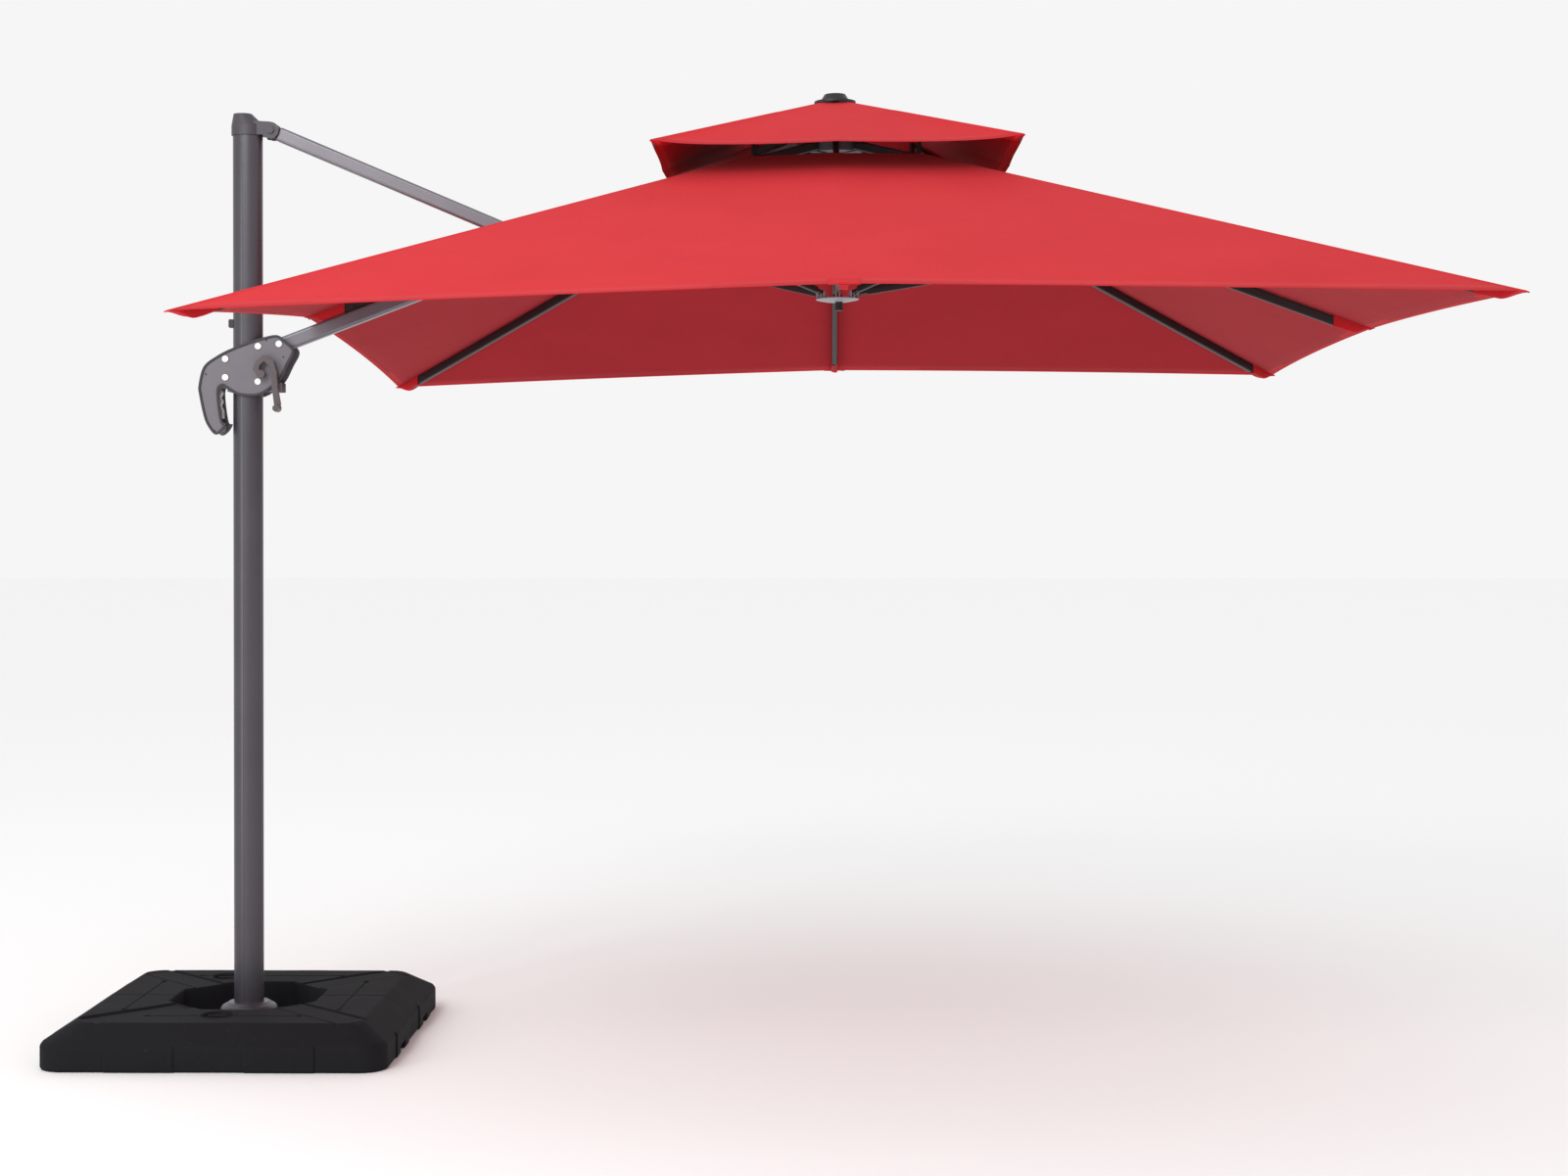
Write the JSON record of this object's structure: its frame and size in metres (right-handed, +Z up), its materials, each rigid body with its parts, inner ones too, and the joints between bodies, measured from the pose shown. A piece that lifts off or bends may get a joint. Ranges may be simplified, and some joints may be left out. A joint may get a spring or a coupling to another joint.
{
  "type": "cantilever patio umbrella",
  "caption": "Square cantilever parasol with a red double-top canopy, side mast, strut and boom linkage, crank slider housing and a water-filled square base",
  "frame": {"origin": "the point on the floor under the middle of the mast and of the square base", "axes": "+X from the mast towards the canopy, +Z up, +Y to the back as seen with the canopy on the right"},
  "size_m": [3.6389, 3, 2.6634],
  "materials": {
    "canopy_cloth": "woven polyester, matt",
    "mast_coat": "powder coated extrusion, satin",
    "casting_coat": "powder coated casting, satin",
    "rib_steel": "powder coated steel, satin",
    "housing_plastic": "injection moulded, fine spark texture",
    "nylon": "moulded nylon, satin",
    "runner_plastic": "moulded, satin",
    "base_plastic": "blow moulded polyethylene, fine grain",
    "foot_steel": "powder coated steel",
    "collar_plastic": "moulded, satin",
    "zinc_steel": "zinc plated",
    "white_plastic": "moulded, glossy",
    "lever_metal": "die cast, satin",
    "crank_coat": "powder coated, satin"
  },
  "bodies": {
    "foot": {"base_tank_front": "base_plastic", "base_tank_back": "base_plastic", "fill_caps": "base_plastic", "cross_frame": "foot_steel", "socket_flange": "foot_steel", "flange_bolts": "zinc_steel", "pedal_bracket": "foot_steel"},
    "pedal": {"foot_pedal": "foot_steel"},
    "mast": {"mast_foot_collar": "collar_plastic", "mast_tube": "mast_coat", "swivel_sleeve": "nylon", "stop_lug": "nylon", "mast_cap": "casting_coat", "strut_pivot_bolt": "zinc_steel"},
    "strut": {"strut_tube": "mast_coat", "strut_top_eye": "casting_coat", "strut_fork": "casting_coat", "elbow_pin_bolt": "zinc_steel"},
    "boom": {"boom_tube": "mast_coat", "boom_root_plug": "casting_coat", "boom_side_rib": "rib_steel", "rib_straps": "rib_steel", "elbow_bracket": "casting_coat", "boom_tip": "casting_coat", "crown_pin": "zinc_steel"},
    "slider": {"slider_shell_front": "housing_plastic", "slider_shell_back": "housing_plastic", "slider_carriage": "housing_plastic", "slider_pins": "zinc_steel", "guide_rollers": "nylon", "shell_fasteners": "white_plastic", "grip_core": "housing_plastic"},
    "release_lever": {"release_lever": "lever_metal", "lock_pawl": "lever_metal"},
    "crank": {"crank_shaft": "zinc_steel", "crank_arm": "crank_coat", "rope_drum": "nylon"},
    "crank_knob": {"crank_knob": "crank_coat"},
    "crown": {"crown": "casting_coat", "finial_cap": "nylon", "rib_hinge_pins": "zinc_steel", "canopy_main": "canopy_cloth", "canopy_vent": "canopy_cloth"},
    "runner": {"runner": "runner_plastic", "runner_knob": "nylon"},
    "rib_outer": {"rib_outer": "rib_steel"},
    "stretcher_outer": {"stretcher_outer": "rib_steel"},
    "rib_outer_back": {"rib_outer_back": "rib_steel"},
    "stretcher_outer_back": {"stretcher_outer_back": "rib_steel"},
    "rib_back": {"rib_back": "rib_steel"},
    "stretcher_back": {"stretcher_back": "rib_steel"},
    "rib_mast_back": {"rib_mast_back": "rib_steel"},
    "stretcher_mast_back": {"stretcher_mast_back": "rib_steel"},
    "rib_mast_front": {"rib_mast_front": "rib_steel"},
    "stretcher_mast_front": {"stretcher_mast_front": "rib_steel"},
    "rib_front": {"rib_front": "rib_steel"},
    "stretcher_front": {"stretcher_front": "rib_steel"},
    "rib_outer_front": {"rib_outer_front": "rib_steel"},
    "stretcher_outer_front": {"stretcher_outer_front": "rib_steel"}
  },
  "joints": [
    {"name": "mast_swivel", "type": "hinge", "parent": "foot", "child": "mast", "pos_m": [0, 0, 0.05], "axis": [0, 0, 1], "continuous": true},
    {"name": "pedal_press", "type": "hinge", "parent": "foot", "child": "pedal", "pos_m": [0, -0.112, 0.056], "axis": [1, 0, 0], "range_deg": [0, 6], "stiffness_Nm_per_rad": 4, "springref_deg": -5.73},
    {"name": "lift", "type": "hinge", "parent": "mast", "child": "strut", "pos_m": [0.07, 0, 2.563], "axis": [0, 1, 0], "range_deg": [-2.2, 55]},
    {"name": "boom_elbow", "type": "hinge", "parent": "strut", "child": "boom", "pos_m": [0.78029, 0, 2.2615], "axis": [0, 1, 0], "range_deg": [-110.5, 4.9]},
    {"name": "boom_root", "type": "hinge", "parent": "boom", "child": "slider", "pos_m": [0.07, 0, 1.96], "axis": [0, 1, 0], "range_deg": [-2.7, 55.5]},
    {"name": "lever_squeeze", "type": "hinge", "parent": "slider", "child": "release_lever", "pos_m": [-0.092, 0, 1.852], "axis": [0, 1, 0], "range_deg": [0, 4], "stiffness_Nm_per_rad": 2, "springref_deg": -5.73},
    {"name": "crank_turn", "type": "hinge", "parent": "slider", "child": "crank", "pos_m": [0.049, 0, 1.874], "axis": [0, 1, 0], "continuous": true},
    {"name": "crank_grip_spin", "type": "hinge", "parent": "crank", "child": "crank_knob", "pos_m": [0.097, -0.054, 1.777], "axis": [0, 1, 0], "continuous": true},
    {"name": "hub_tilt", "type": "hinge", "parent": "boom", "child": "crown", "pos_m": [1.661, 0, 2.553], "axis": [0, 1, 0], "range_deg": [-0.5, 55.5]},
    {"name": "canopy_fold", "type": "hinge", "parent": "crown", "child": "rib_outer", "pos_m": [1.72153, 0, 2.513], "axis": [0, 1, 0], "range_deg": [0, 63.2], "deforming": ["canopy_main", "canopy_vent"]},
    {"name": "brace_outer", "type": "hinge", "parent": "rib_outer", "child": "stretcher_outer", "pos_m": [2.44603, 0, 2.22304], "axis": [0, 1, 0], "range_deg": [-140.38, 0.5]},
    {"name": "fold_outer_back", "type": "hinge", "parent": "crown", "child": "rib_outer_back", "pos_m": [1.70388, 0.04243, 2.51835], "axis": [-0.707, 0.7071, -0.0093], "range_deg": [-0.5, 60.91]},
    {"name": "brace_outer_back", "type": "hinge", "parent": "rib_outer_back", "child": "stretcher_outer_back", "pos_m": [2.23245, 0.56793, 2.28719], "axis": [-0.707, 0.7071, -0.0093], "range_deg": [-125.36, 0.5]},
    {"name": "fold_back", "type": "hinge", "parent": "crown", "child": "rib_back", "pos_m": [1.66153, 0.06, 2.51221], "axis": [-0.9999, 0, -0.0131], "range_deg": [-0.5, 63.7]},
    {"name": "brace_back", "type": "hinge", "parent": "rib_back", "child": "stretcher_back", "pos_m": [1.66545, 0.78064, 2.21282], "axis": [-0.9999, 0, -0.0131], "range_deg": [-140.38, 0.5]},
    {"name": "fold_mast_back", "type": "hinge", "parent": "crown", "child": "rib_mast_back", "pos_m": [1.61904, 0.04243, 2.51724], "axis": [-0.707, -0.7071, -0.0093], "range_deg": [-0.5, 60.91]},
    {"name": "brace_mast_back", "type": "hinge", "parent": "rib_mast_back", "child": "stretcher_mast_back", "pos_m": [1.0967, 0.56793, 2.27232], "axis": [-0.707, -0.7071, -0.0093], "range_deg": [-125.36, 0.5]},
    {"name": "fold_mast_front", "type": "hinge", "parent": "crown", "child": "rib_mast_front", "pos_m": [1.61904, -0.04243, 2.51724], "axis": [0.707, -0.7071, 0.0093], "range_deg": [-0.5, 60.91]},
    {"name": "brace_mast_front", "type": "hinge", "parent": "rib_mast_front", "child": "stretcher_mast_front", "pos_m": [1.0967, -0.56793, 2.27232], "axis": [0.707, -0.7071, 0.0093], "range_deg": [-125.36, 0.5]},
    {"name": "fold_front", "type": "hinge", "parent": "crown", "child": "rib_front", "pos_m": [1.66153, -0.06, 2.51221], "axis": [0.9999, 0, 0.0131], "range_deg": [-0.5, 63.7]},
    {"name": "brace_front", "type": "hinge", "parent": "rib_front", "child": "stretcher_front", "pos_m": [1.66545, -0.78064, 2.21282], "axis": [0.9999, 0, 0.0131], "range_deg": [-140.38, 0.5]},
    {"name": "fold_outer_front", "type": "hinge", "parent": "crown", "child": "rib_outer_front", "pos_m": [1.70388, -0.04243, 2.51835], "axis": [0.707, 0.7071, 0.0093], "range_deg": [-0.5, 60.91]},
    {"name": "brace_outer_front", "type": "hinge", "parent": "rib_outer_front", "child": "stretcher_outer_front", "pos_m": [2.23245, -0.56793, 2.28719], "axis": [0.707, 0.7071, 0.0093], "range_deg": [-125.36, 0.5]},
    {"name": "runner_hang", "type": "hinge", "parent": "stretcher_outer", "child": "runner", "pos_m": [1.72489, 0, 2.1038], "axis": [0, 1, 0], "range_deg": [-0.5, 77.18]}
  ],
  "couplings": [
    {"joint": "boom_elbow", "follows": "lift", "ratio": -2},
    {"joint": "boom_root", "follows": "lift", "ratio": 1},
    {"joint": "hub_tilt", "follows": "canopy_fold", "ratio": 0.87025},
    {"joint": "brace_outer", "follows": "canopy_fold", "ratio": -2.2133},
    {"joint": "fold_outer_back", "follows": "canopy_fold", "ratio": 0.95585},
    {"joint": "brace_outer_back", "follows": "canopy_fold", "ratio": -1.9756},
    {"joint": "fold_back", "follows": "canopy_fold", "ratio": 1},
    {"joint": "brace_back", "follows": "canopy_fold", "ratio": -2.2133},
    {"joint": "fold_mast_back", "follows": "canopy_fold", "ratio": 0.95585},
    {"joint": "brace_mast_back", "follows": "canopy_fold", "ratio": -1.9756},
    {"joint": "fold_mast_front", "follows": "canopy_fold", "ratio": 0.95585},
    {"joint": "brace_mast_front", "follows": "canopy_fold", "ratio": -1.9756},
    {"joint": "fold_front", "follows": "canopy_fold", "ratio": 1},
    {"joint": "brace_front", "follows": "canopy_fold", "ratio": -2.2133},
    {"joint": "fold_outer_front", "follows": "canopy_fold", "ratio": 0.95585},
    {"joint": "brace_outer_front", "follows": "canopy_fold", "ratio": -1.9756},
    {"joint": "runner_hang", "follows": "canopy_fold", "ratio": 1.2133}
  ]
}
